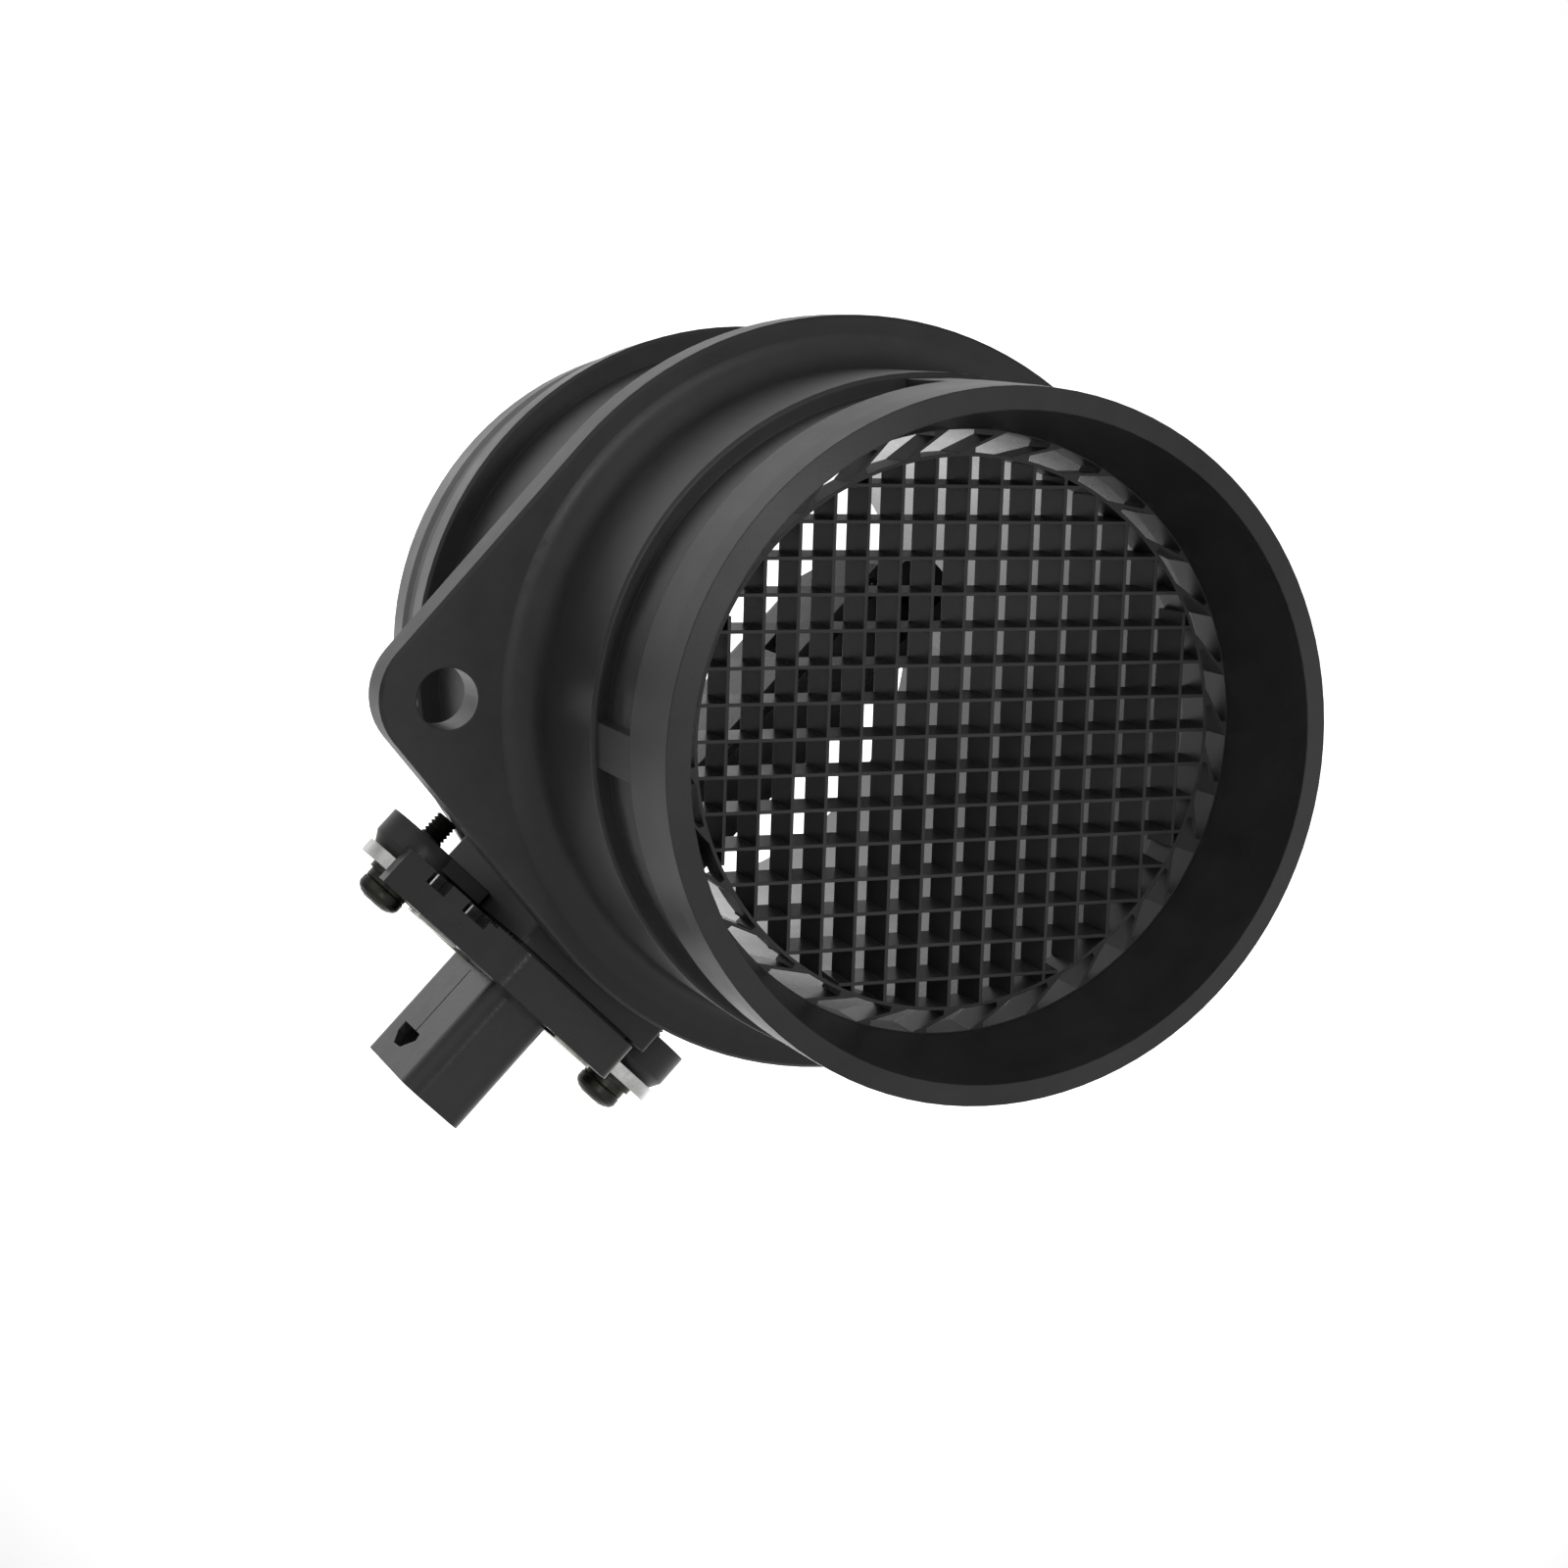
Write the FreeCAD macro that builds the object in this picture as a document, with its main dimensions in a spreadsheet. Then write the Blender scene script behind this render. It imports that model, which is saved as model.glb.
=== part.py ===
import FreeCAD, Part
import Sketcher
import math
import os

# Hot-film mass airflow sensor for an engine intake: a moulded duct with an
# inlet spigot, a two-eared mounting flange, a hose collar, a flow
# straightener behind the inlet mouth, and a plug-in sensor insert held by
# two screws.  Millimetres.  +Z up, air flows along +Y.  The origin is on the
# duct axis in the plane of the flange's mating face.

V = FreeCAD.Vector
doc = FreeCAD.newDocument("airflow_sensor")

# ---------------------------------------------------------------- dimensions
TABLE = [
    # duct, radii and stations measured along the flow from the inlet mouth
    ("flange_station", 56.0), ("mouth_bore_rad", 46.15), ("mouth_face_rad", 49.35),
    ("mouth_lip", 1.1), ("mouth_edge", 0.3), ("collar_front_rad", 49.55), ("leadin_end", 4.3),
    ("collar_rad", 49.7), ("collar_end", 13.8), ("groove_rad", 48.0),
    ("groove_start", 15.1), ("groove_end", 28.0), ("neck_rad", 50.5),
    ("seat_bore_rad", 43.0), ("seat_station", 16.0), ("duct_bore_rad", 44.3),
    ("tube_rad", 52.5), ("hose_station", 104.0), ("hose_edge_rad", 55.8),
    ("hose_rad", 56.3), ("hose_edge", 0.5), ("hose_band_rad", 55.5),
    ("hose_band_end", 112.5), ("waist_rad", 53.5), ("waist_start", 117.5),
    ("waist_end", 122.5), ("tail_rad", 53.8), ("tail_start", 125.0),
    ("end_rad", 52.6), ("end_bevel", 0.6), ("duct_length", 136.0),
    ("core_outer_rad", 49.4), ("core_inner_rad", 46.9), ("core_start", 74.0),
    ("core_rib_width", 2.4),
    # mounting flange
    ("disc_rad", 58.4), ("plate_thick", 7.6), ("ear_offset", 63.6),
    ("ear_rad", 10.1), ("bolt_hole_rad", 4.6), ("plate_bevel", 0.5),
    ("neck_fillet", 5.0), ("plate_back_fillet", 1.6), ("ear_tilt", 1.06),
    # ribs that bridge the seal groove
    ("rib_foot_rad", 46.8), ("rib_top_rad", 49.6), ("rib_width", 6.4),
    ("rib_angle", 182.1),
    # sensor insert frame: w across, q towards the inlet, s out along the axis
    ("insert_angle", 46.8), ("screw_station", 87.0), ("screw_half", 25.0),
    ("tower_foot", 46.0), ("tower_top", 60.9), ("upper_lug_foot", 58.3), ("lower_lug_foot", 57.0),
    ("lug_top", 64.2), ("lug_rad", 7.3), ("lug_top_rad", 6.2),
    ("lug_bevel_foot", 62.4), ("lug_arm_half", 6.8),
    ("pocket_half", 9.6), ("pocket_front", 16.9), ("pocket_back", 9.9),
    ("pocket_corner", 4.0), ("fit_gap", 0.35),
    ("flange_foot", 61.5), ("flange_top", 68.1), ("seat_relief_rad", 7.6),
    ("plug_foot", 44.6), ("ring_groove_foot", 53.4), ("ring_groove_wide", 3.0),
    ("ring_groove_deep", 2.0), ("seal_wide", 2.6), ("seal_round", 0.9),
    ("metal_foot", 64.2), ("metal_thick", 2.3), ("metal_rad", 7.0),
    ("cover_thick", 0.5),
    ("conn_half", 6.0), ("conn_front", 15.7), ("conn_back", 12.1),
    ("conn_top", 89.2), ("conn_wall", 1.6), ("conn_floor", 72.5),
    ("conn_corner", 3.6), ("conn_mid", 1.8),
    ("latch_foot", 82.1), ("latch_deep", 2.2),
    ("probe_front", 15.5), ("probe_chord", 24.0), ("probe_split", 6.5),
    ("pin_pitch", 4.2), ("pin_wide", 1.5), ("pin_thick", 0.64),
    ("pin_foot", 24.0), ("pin_top", 82.0),
    ("board_thick", 0.8), ("gel_thick", 3.8),
    # fasteners
    ("screw_rad", 2.0), ("screw_tip", 54.0), ("thread_deep", 0.38), ("head_rad", 3.9),
    ("head_tall", 2.9), ("flat_washer_rad", 4.3), ("flat_washer_thick", 0.9),
    ("spring_washer_rad", 3.8), ("spring_washer_thick", 1.3),
    ("washer_hole_rad", 2.15), ("nut_rad", 3.0),
    # flow straightener
    ("grid_pitch", 5.0), ("grid_bar", 0.5), ("grid_draft", 0.4), ("grid_depth", 6.4),
    ("grid_reach", 39.35), ("grid_ring_rad", 39.65), ("grid_ring_wall", 0.5),
    ("band_rad", 44.25), ("band_bore_rad", 42.9),
]
dims = doc.addObject("Spreadsheet::Sheet", "Dims")
D = {}
for i, (alias, value) in enumerate(TABLE):
    dims.set("A%d" % (i + 1), alias.replace("_", " "))
    dims.set("B%d" % (i + 1), str(value))
    dims.setAlias("B%d" % (i + 1), alias)
    D[alias] = float(value)
doc.recompute()


def num(e):
    """value of an expression made of aliases, numbers, + and -"""
    if isinstance(e, (int, float)):
        return float(e)
    total, sign = 0.0, 1.0
    for tok in e.split():
        if tok == "+":
            sign = 1.0
        elif tok == "-":
            sign = -1.0
        else:
            total += sign * (D[tok] if tok in D else float(tok))
            sign = 1.0
    return total


def ref(e):
    """the same expression as the document reads it"""
    if isinstance(e, (int, float)):
        return None
    out = []
    for tok in e.split():
        out.append("Dims." + tok if tok in D else tok)
    return " ".join(out)


def minus(e):
    """the expression with every sign turned"""
    out, sign = [], "-"
    for tok in e.split():
        if tok == "+":
            sign = "-"
        elif tok == "-":
            sign = "+"
        else:
            out.append(sign + " " + tok)
    return " ".join(out)


def bind(obj, prop, e):
    setattr(obj, prop, num(e))
    if ref(e):
        obj.setExpression(prop, ref(e))


# -------------------------------------------------------------------- frames
WORLD = FreeCAD.Placement()
DUCT = FreeCAD.Placement(V(0, -D["flange_station"], 0), FreeCAD.Rotation())
A = math.radians(D["insert_angle"])
INSERT = FreeCAD.Placement(
    V(0, D["screw_station"] - D["flange_station"], 0),
    FreeCAD.Rotation(V(math.sin(A), 0, -math.cos(A)), V(0, -1, 0),
                     V(-math.cos(A), 0, -math.sin(A)), "ZXY"))
# plate frame: x across, z along the flow
PLATE = FreeCAD.Placement(
    V(0, 0, 0),
    FreeCAD.Rotation(V(0, 1, 0), D["ear_tilt"])
    * FreeCAD.Rotation(V(1, 0, 0), V(0, 0, -1), V(0, 1, 0), "ZXY"))


def at(base, x, y, z, rot=None):
    return base * FreeCAD.Placement(V(x, y, z), rot or FreeCAD.Rotation())


# ------------------------------------------------------------------- helpers
def box(name, x0, y0, z0, lx, ly, lz, base=INSERT, rot=None):
    b = doc.addObject("Part::Box", name)
    bind(b, "Length", lx)
    bind(b, "Width", ly)
    bind(b, "Height", lz)
    b.Placement = at(base, num(x0), num(y0), num(z0), rot)
    return b


def cyl(name, x, y, z, rad, tall, base=INSERT, rot=None):
    c = doc.addObject("Part::Cylinder", name)
    bind(c, "Radius", rad)
    bind(c, "Height", tall)
    c.Placement = at(base, num(x), num(y), num(z), rot)
    return c


def cone(name, x, y, z, r1, r2, tall, base=INSERT, rot=None):
    c = doc.addObject("Part::Cone", name)
    bind(c, "Radius1", r1)
    bind(c, "Radius2", r2)
    bind(c, "Height", tall)
    c.Placement = at(base, num(x), num(y), num(z), rot)
    return c


def fuse(name, items):
    f = doc.addObject("Part::MultiFuse", name)
    f.Shapes = items
    return f


def cut(name, a, b):
    c = doc.addObject("Part::Cut", name)
    c.Base = a
    c.Tool = b
    return c


def common(name, a, b):
    c = doc.addObject("Part::Common", name)
    c.Base = a
    c.Tool = b
    return c


def origin_plane(body, role):
    return [f for f in body.Origin.OriginFeatures if f.Role == role][0]


def outline(body, name, pts):
    """closed polygon whose corners are held to the sheet's dimensions"""
    sk = body.newObject("Sketcher::SketchObject", name)
    sk.AttachmentSupport = (origin_plane(body, "XY_Plane"), [""])
    sk.MapMode = "FlatFace"
    xy = [(num(p[0]), num(p[1])) for p in pts]
    n = len(xy)
    sk.addGeometry([Part.LineSegment(V(xy[i][0], xy[i][1], 0),
                                     V(xy[(i + 1) % n][0], xy[(i + 1) % n][1], 0))
                    for i in range(n)], False)
    sk.addConstraint([Sketcher.Constraint("Coincident", i, 2, (i + 1) % n, 1)
                      for i in range(n)])
    for i in range(n):
        for kind, axis, k in (("DistanceX", -2, 0), ("DistanceY", -1, 1)):
            if abs(xy[i][k]) < 1e-9:
                sk.addConstraint(Sketcher.Constraint("PointOnObject", i, 1, axis))
                continue
            c = sk.addConstraint(Sketcher.Constraint(kind, -1, 1, i, 1, xy[i][k]))
            label = "p%d%s" % (i, "xy"[k])
            sk.renameConstraint(c, label)
            if ref(pts[i][k]):
                sk.setExpression("Constraints." + label, ref(pts[i][k]))
    return sk


def ring_sketch(body, name, circles):
    sk = body.newObject("Sketcher::SketchObject", name)
    sk.AttachmentSupport = (origin_plane(body, "XY_Plane"), [""])
    sk.MapMode = "FlatFace"
    for j, (x, y, r) in enumerate(circles):
        g = sk.addGeometry(Part.Circle(V(num(x), num(y), 0), V(0, 0, 1), num(r)), False)
        c = sk.addConstraint(Sketcher.Constraint("Radius", g, num(r)))
        sk.renameConstraint(c, "rad%d" % j)
        if ref(r):
            sk.setExpression("Constraints.rad%d" % j, ref(r))
        for kind, axis, e, tag in (("DistanceX", -2, x, "x"), ("DistanceY", -1, y, "y")):
            if abs(num(e)) < 1e-9:
                sk.addConstraint(Sketcher.Constraint("PointOnObject", g, 3, axis))
            else:
                c = sk.addConstraint(Sketcher.Constraint(kind, -1, 1, g, 3, num(e)))
                sk.renameConstraint(c, "c%d%s" % (j, tag))
                if ref(e):
                    sk.setExpression("Constraints.c%d%s" % (j, tag), ref(e))
    return sk


def pad(body, name, sk, tall):
    p = body.newObject("PartDesign::Pad", name)
    p.Profile = sk
    bind(p, "Length", tall)
    body.Tip = p
    return p


def edge_names(shape, test):
    return ["Edge%d" % (i + 1) for i, e in enumerate(shape.Edges) if test(e)]


def upright(xy, tol=0.05):
    def test(e):
        if len(e.Vertexes) != 2:
            return False
        a, b = e.Vertexes[0].Point, e.Vertexes[1].Point
        if abs(a.z - b.z) < 0.3 or math.hypot(a.x - b.x, a.y - b.y) > tol:
            return False
        return any(math.hypot(a.x - x, a.y - y) < tol for x, y in xy)
    return test


def round_uprights(body, feature, xy, rad, name):
    doc.recompute()
    f = body.newObject("PartDesign::Fillet", name)
    f.Base = (feature, edge_names(feature.Shape, upright([(num(a), num(b)) for a, b in xy])))
    bind(f, "Radius", rad)
    body.Tip = f
    doc.recompute()
    return f


def prism(name, pts, z0, tall, base=INSERT, rounds=(), rot=None, shift=None):
    """polygon pad with rounded upright corners, in the insert's frame"""
    body = doc.addObject("PartDesign::Body", name)
    sk = outline(body, name + "_outline", pts)
    feat = pad(body, name + "_pad", sk, tall)
    for k, (corners, rad) in enumerate(rounds):
        feat = round_uprights(body, feat, corners, rad, "%s_round%d" % (name, k))
    if shift is None:
        shift = (0, 0, num(z0))
    body.Placement = at(base, shift[0], shift[1], shift[2], rot)
    return body


def rounded_block(name, half, front, back, z0, tall, rad):
    """rectangle w = +-half, q = -back .. front, with four rounded corners"""
    pts = [(minus(half), minus(back)), (half, minus(back)), (half, front), (minus(half), front)]
    return prism(name, pts, z0, tall, rounds=[(pts, rad)])


NODES = []


def node(obj, name):
    obj.Label = name
    NODES.append((name, obj))
    return obj


# ------------------------------------------------------------------- housing
# Turned section of the duct: inlet spigot with its seal groove, neck, outlet
# tube and waisted hose collar; conical mouth, a shoulder for the straightener.
duct = doc.addObject("PartDesign::Body", "duct")
duct_sk = outline(duct, "duct_section", [
    ("mouth_bore_rad", "- mouth_lip"), ("mouth_face_rad", "- mouth_edge"),
    ("collar_front_rad", "leadin_end"), ("collar_rad", "collar_end"),
    ("groove_rad", "groove_start"), ("groove_rad", "groove_end"),
    ("neck_rad", "groove_end"), ("neck_rad", "flange_station + plate_thick - 2"),
    ("tube_rad", "flange_station + plate_thick - 2"), ("tube_rad", "hose_station"),
    ("hose_edge_rad", "hose_station"), ("hose_rad", "hose_station + hose_edge"),
    ("hose_band_rad", "hose_band_end"), ("waist_rad", "waist_start"),
    ("waist_rad", "waist_end"), ("tail_rad", "tail_start"),
    ("end_rad", "duct_length - end_bevel"), ("end_rad - end_bevel", "duct_length"),
    ("duct_bore_rad + end_bevel", "duct_length"), ("duct_bore_rad", "duct_length - end_bevel"),
    ("duct_bore_rad", "seat_station"), ("seat_bore_rad", "seat_station")])
duct_rev = duct.newObject("PartDesign::Revolution", "duct_turned")
duct_rev.Profile = duct_sk
duct_rev.ReferenceAxis = (duct_sk, ["V_Axis"])
duct_rev.Angle = 360
duct.Tip = duct_rev
doc.recompute()


def circle_at(rad, y, tol=0.02):
    def test(e):
        c = e.Curve
        if not isinstance(c, Part.Circle):
            return False
        return abs(c.Radius - rad) < tol and abs(c.Center.y - y) < tol and abs(abs(c.Axis.y) - 1) < 1e-6
    return test


# soft edges of the collar, the waist and the mouth
duct_fil = duct.newObject("PartDesign::Fillet", "duct_soft_edges")
names = []
for r_, y_ in (("collar_rad", "collar_end"), ("groove_rad", "groove_start"),
               ("neck_rad", "groove_end"), ("hose_band_rad", "hose_band_end"),
               ("waist_rad", "waist_start"), ("waist_rad", "waist_end"), ("tail_rad", "tail_start")):
    names += edge_names(duct_rev.Shape, circle_at(num(r_), num(y_)))
duct_fil.Base = (duct_rev, names)
duct_fil.Radius = 0.6
duct.Tip = duct_fil
duct.Placement = DUCT
duct.setExpression("Placement.Base.y", "-Dims.flange_station")

# Mounting plate: disc, two ears and the straight tangents between them.
plate = doc.addObject("PartDesign::Body", "plate")
cosn = (D["disc_rad"] - D["ear_rad"]) / D["ear_offset"]
sinn = math.sqrt(1 - cosn * cosn)
disc_sk = ring_sketch(plate, "plate_disc", [(0, 0, "disc_rad")])
disc_pad = pad(plate, "plate_disc_pad", disc_sk, "plate_thick")
ta = (D["disc_rad"] * cosn, D["disc_rad"] * sinn)
tb = (D["ear_offset"] + D["ear_rad"] * cosn, D["ear_rad"] * sinn)
tang_sk = outline(plate, "plate_tangents", [
    ta, tb, (tb[0], -tb[1]), (ta[0], -ta[1]), (-ta[0], -ta[1]), (-tb[0], -tb[1]),
    (-tb[0], tb[1]), (-ta[0], ta[1])])
pad(plate, "plate_tangent_pad", tang_sk, "plate_thick")
ear_sk = ring_sketch(plate, "plate_ears", [("ear_offset", 0, "ear_rad"), ("- ear_offset", 0, "ear_rad")])
ear_pad = pad(plate, "plate_ear_pad", ear_sk, "plate_thick")
doc.recompute()
bevel = plate.newObject("PartDesign::Chamfer", "plate_bevel_edges")
flat = edge_names(ear_pad.Shape, lambda e: abs(e.BoundBox.ZMin - e.BoundBox.ZMax) < 1e-6
                  and (abs(e.BoundBox.ZMin) < 1e-6 or abs(e.BoundBox.ZMin - D["plate_thick"]) < 1e-6))
bevel.Base = (ear_pad, flat)
bind(bevel, "Size", "plate_bevel")
plate.Tip = bevel
doc.recompute()
hole_sk = ring_sketch(plate, "plate_holes", [
    ("ear_offset", 0, "bolt_hole_rad"), ("- ear_offset", 0, "bolt_hole_rad"), (0, 0, "core_inner_rad")])
holes = plate.newObject("PartDesign::Pocket", "plate_hole_cut")
holes.Profile = hole_sk
holes.Type = 1
holes.Midplane = True
plate.Tip = holes
plate.Placement = PLATE

# Tower with the insert's pocket, and the two screw lugs.
tower = prism("tower", [
    (-18.5, -8.5), (-9, 19), (18.5, 19), (23.5, 7), (23.5, -8.5), (14, -12), (-14, -12)],
    "tower_foot", "tower_top - tower_foot",
    rounds=[([(-9, 19)], 1.2), ([(-18.5, -8.5), (18.5, 19), (23.5, 7), (23.5, -8.5)], 1.0)])
lugs = []
for side, tag in ((-1, "upper"), (1, "lower")):
    x = side * D["screw_half"]
    foot = tag + "_lug_foot"
    lugs.append(cyl(tag + "_lug_post", x, 0, foot, "lug_rad", "lug_bevel_foot - " + foot))
    lugs.append(cone(tag + "_lug_crown", x, 0, "lug_bevel_foot", "lug_rad", "lug_top_rad", "lug_top - lug_bevel_foot"))
    lugs.append(box(tag + "_lug_arm", x - 11 if side > 0 else x, "- lug_arm_half", foot, 11,
                    "lug_arm_half + lug_arm_half", "tower_top - " + foot))

# Ribs that bridge the seal groove, a quarter turn apart.
ribs = []
for k in range(4):
    th = D["rib_angle"] + 90 * k
    base = FreeCAD.Placement(V(0, 0, 0), FreeCAD.Rotation(V(0, 1, 0), -th))
    ribs.append(box("groove_rib_%d" % k, "rib_foot_rad", "collar_end - flange_station - 0.4", -D["rib_width"] / 2,
                    "rib_top_rad - rib_foot_rad", "groove_end - collar_end + 0.8", "rib_width", base=base))

# low step on the tower's top that carries the insert's flange
tower_lip = prism("tower_lip", [
    (-16.6, -7.2), (-8.3, 17.4), (15.3, 17.4), (19.3, 7.5), (19.3, -7.2), (12, -10.8), (-12, -10.8)],
    "tower_top - 1", "flange_foot - tower_top + 1")

shell_a = fuse("housing_union", [duct, plate] + [tower, tower_lip] + lugs + ribs)
doc.recompute()


def world_circle(shape, rad, y):
    out = []
    for i, e in enumerate(shape.Edges):
        c = e.Curve
        if isinstance(c, Part.Circle) and abs(c.Radius - rad) < 0.02 and abs(c.Center.y - y) < 0.02 \
                and abs(abs(c.Axis.y) - 1) < 1e-6:
            out.append(i + 1)
    return out


shell_b = doc.addObject("Part::Fillet", "housing_fillets")
shell_b.Base = shell_a
shell_b.Edges = [(i, D["neck_fillet"], D["neck_fillet"]) for i in world_circle(shell_a.Shape, D["neck_rad"], 0.0)] \
    + [(i, D["plate_back_fillet"], D["plate_back_fillet"])
       for i in world_circle(shell_a.Shape, D["tube_rad"], D["plate_thick"])]

# Cuts: the insert's pocket, the holes of the thread inserts, and the cored
# ring at the outlet end that keeps the moulding's walls even.
pocket = rounded_block("insert_pocket", "pocket_half", "pocket_front", "pocket_back", 30.0, 34.0, "pocket_corner")
nut_holes = [cyl(t + "_nut_hole", sd * D["screw_half"], 0, 50.0, "nut_rad", 20.0)
             for sd, t in ((-1, "upper"), (1, "lower"))]
TURN = FreeCAD.Rotation(V(1, 0, 0), -90)
core_o = cyl("core_outer", 0, "core_start - flange_station", 0, "core_outer_rad", "duct_length - core_start + 1",
             base=WORLD, rot=TURN)
core_i = cyl("core_inner", 0, "core_start - flange_station - 1", 0, "core_inner_rad", "duct_length - core_start + 3",
             base=WORLD, rot=TURN)
core = cut("core_ring", core_o, core_i)
core_ribs = []
for k in range(8):
    base = FreeCAD.Placement(V(0, 0, 0), FreeCAD.Rotation(V(0, 1, 0), 22.5 * k - 1.8))
    core_ribs.append(box("core_rib_%d" % k, -60, 10, -D["core_rib_width"] / 2, 120, 80, "core_rib_width", base=base))
core_keep = box("core_tower_zone", -24, -80, 20, 48, 120, 60)
core_cut = cut("core_cells", core, fuse("core_keep", core_ribs + [core_keep]))
housing = cut("housing_cut", shell_b, fuse("housing_tools", [pocket, core_cut] + nut_holes))
node(housing, "housing")

# --------------------------------------------------------- flow straightener
bars = []
reach = D["grid_reach"]
y0 = num("seat_station - flange_station")
n_bar = 7


def blade(name, pos, half, upright_bar):
    """grid bar with moulding draft: thin at its front edge, thicker behind"""
    w = doc.addObject("Part::Wedge", name)
    a, b = D["grid_bar"] / 2, D["grid_bar"] / 2 + D["grid_draft"]
    w.Ymin = 0
    bind(w, "Ymax", "grid_depth")
    if upright_bar:
        w.Xmin, w.Xmax, w.Zmin, w.Zmax = pos - a, pos + a, -half, half
        w.X2min, w.X2max, w.Z2min, w.Z2max = pos - b, pos + b, -half, half
    else:
        w.Xmin, w.Xmax, w.Zmin, w.Zmax = -half, half, pos - a, pos + a
        w.X2min, w.X2max, w.Z2min, w.Z2max = -half, half, pos - b, pos + b
    w.Placement = FreeCAD.Placement(V(0, y0, 0), FreeCAD.Rotation())
    return w


for k in range(-n_bar, n_bar + 1):
    pos = k * D["grid_pitch"]
    half = math.sqrt(reach * reach - pos * pos)
    if abs(k) == n_bar:
        half -= 0.8
    bars.append(blade("bar_up_%d" % (k + n_bar), pos, half, True))
    bars.append(blade("bar_across_%d" % (k + n_bar), pos, half, False))
ring_o = cyl("grid_ring_outer", 0, y0, 0, "grid_ring_rad", "grid_depth", base=WORLD, rot=TURN)
ring_i = cyl("grid_ring_inner", 0, y0, 0, "grid_ring_rad - grid_ring_wall", "grid_depth", base=WORLD, rot=TURN)
band_o = cyl("grid_band_outer", 0, y0, 0, "band_rad", "grid_depth", base=WORLD, rot=TURN)
band_i = cyl("grid_band_inner", 0, y0, 0, "band_bore_rad", "grid_depth", base=WORLD, rot=TURN)
# swept vanes between ring and band, each with a gusset at both of its roots
r_in, r_out = D["grid_ring_rad"] - 0.3, D["band_bore_rad"] + 0.3
vane_line = doc.addObject("Part::Polygon", "vane_outline")
vane_line.Nodes = [V(r * math.cos(math.radians(t)), 0, r * math.sin(math.radians(t))) for t, r in (
    (-2.0, r_out), (5.0, D["grid_ring_rad"] + 0.75), (5.0, r_in), (8.8, r_in),
    (8.5, D["grid_ring_rad"] + 0.1), (1.5, D["band_bore_rad"] - 0.7), (1.5, r_out))]
vane_line.Close = True
vanes = []
for k in range(30):
    v = doc.addObject("Part::Extrusion", "vane_%d" % k)
    v.Base = vane_line
    v.DirMode = "Custom"
    v.Dir = V(0, 1, 0)
    v.Solid = True
    bind(v, "LengthFwd", "grid_depth")
    v.Placement = FreeCAD.Placement(V(0, y0, 0), FreeCAD.Rotation(V(0, 1, 0), -12.0 * k))
    vanes.append(v)
straightener = fuse("straightener_union", bars + [cut("grid_ring", ring_o, ring_i), cut("grid_band", band_o, band_i)] + vanes)
node(straightener, "flow_straightener")

# -------------------------------------------------------------- metal plate
metal_l = cyl("metal_upper_end", "- screw_half", 0, "metal_foot", "metal_rad", "metal_thick")
metal_r = cyl("metal_lower_end", "screw_half", 0, "metal_foot", "metal_rad", "metal_thick")
metal_m = box("metal_middle", "- screw_half", "- metal_rad", "metal_foot", "screw_half + screw_half",
              "metal_rad + metal_rad", "metal_thick")
metal_p = box("metal_panel", -13, -11, "metal_foot", 26, 25, "metal_thick")
# two narrow tabs turned down beside the flange's edge notches
TABS = [(-23.9, 8.0, 11.6), (-17.5, 11.6, 14.7)]


def tab_boxes(tag):
    out = []
    for k, (w, back, front) in enumerate(TABS):
        out.append(box("%s_root_%d" % (tag, k), w, 6.5, "metal_foot", 0.3, front - 6.5, "metal_thick"))
        out.append(box("%s_down_%d" % (tag, k), w, back, "flange_foot + 0.2", 0.3, front - back,
                       "metal_foot + metal_thick - flange_foot - 0.2"))
    return out


metal_f = fuse("metal_union", [metal_l, metal_r, metal_m, metal_p] + tab_boxes("metal_tab"))
pin_gate = box("metal_window", -3, -8, 60, 6, 20.5, 10)
metal_h = fuse("metal_holes", [cyl("metal_hole_u", "- screw_half", 0, 60, "washer_hole_rad", 10),
                               cyl("metal_hole_l", "screw_half", 0, 60, "washer_hole_rad", 10), pin_gate])
base_plate = cut("metal_cut", metal_f, metal_h)
node(base_plate, "base_plate")

# ------------------------------------------------------------- sensor insert
flange = prism("insert_flange", [
    (-29, 9.5), (-7, 20.5), (16.1, 20.5), (20.5, 8), (20.5, -9.5), (8, -14.5), (-8, -14.5), (-20.5, -9.5),
    (-20.5, 4), (-29, 5)],
    "flange_foot", "flange_top - flange_foot",
    rounds=[([(-7, 20.5)], 4.6), ([(16.1, 20.5)], 2.5), ([(8, -14.5), (-8, -14.5), (-20.5, -9.5), (20.5, -9.5)], 2.0)])
plug = rounded_block("insert_plug", "pocket_half - fit_gap", "pocket_front - fit_gap", "pocket_back - fit_gap",
                     "plug_foot", "flange_foot - plug_foot + 0.5", "pocket_corner - fit_gap")
conn = rounded_block("connector_shell", "conn_half", "conn_front", "conn_back", "flange_top - 0.5",
                     "conn_top - flange_top + 0.5", "conn_corner")
# probe: seen across (w, s); it leans and tapers towards its tip
PROBE = FreeCAD.Rotation(V(1, 0, 0), V(0, 0, 1), V(0, -1, 0), "ZXY")
probe = prism("probe", [
    (-5.6, 46), (-5.6, -20.4), (-2.5, -25.0), (0.8, -28.4), (8.2, -28.2), (9.2, -26.5), (9.1, -12),
    (7.0, 25), (7.0, 46)], 0, "probe_chord", rot=PROBE, shift=(0, D["probe_front"], 0),
    rounds=[([(-2.5, -25.0), (0.8, -28.4)], 1.5)])
# the trailing corner of the tip is cut back
SIDE = FreeCAD.Rotation(V(0, 1, 0), V(0, 0, 1), V(1, 0, 0), "ZXY")
trail = prism("probe_trailing_cut", [(-12, -15.5), (-8.5, -15.5), (-3.5, -20.2), (7.0, -34), (-12, -34)],
              0, 44, rot=SIDE, shift=(-22, 0, 0))
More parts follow.
